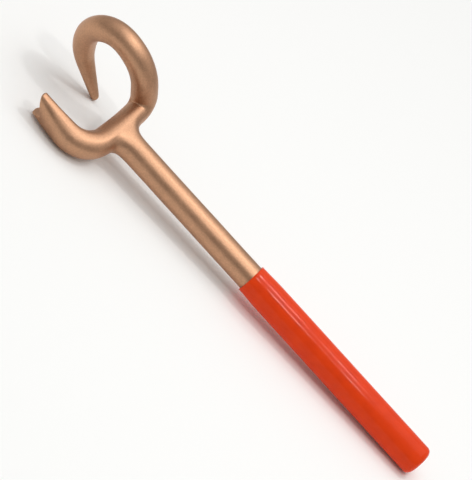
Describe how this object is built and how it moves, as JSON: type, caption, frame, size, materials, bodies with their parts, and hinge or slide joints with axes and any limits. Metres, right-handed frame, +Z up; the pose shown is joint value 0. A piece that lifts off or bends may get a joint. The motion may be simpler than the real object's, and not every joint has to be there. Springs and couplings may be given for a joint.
{
  "type": "fire hydrant wrench",
  "caption": "Hooked bar wrench for hydrant and valve handwheels: notched claw, round hook, straight shank and a dipped sleeve grip.",
  "frame": {"origin": "on the shank's axis, halfway along its bare run between the grip's mouth and the crossbar", "axes": "+X runs along the shank towards the head, +Z is up as the tool lies at rest on a level surface, and +Y points to the claw's side"},
  "size_m": [0.3542, 0.0803, 0.0713],
  "materials": {
    "bronze": "blasted satin copper alloy, forged",
    "pvc_grip": "glossy dipped PVC, orange red"
  },
  "bodies": {
    "root": {"wrench_body": "bronze", "grip_sleeve": "pvc_grip"}
  },
  "joints": []
}
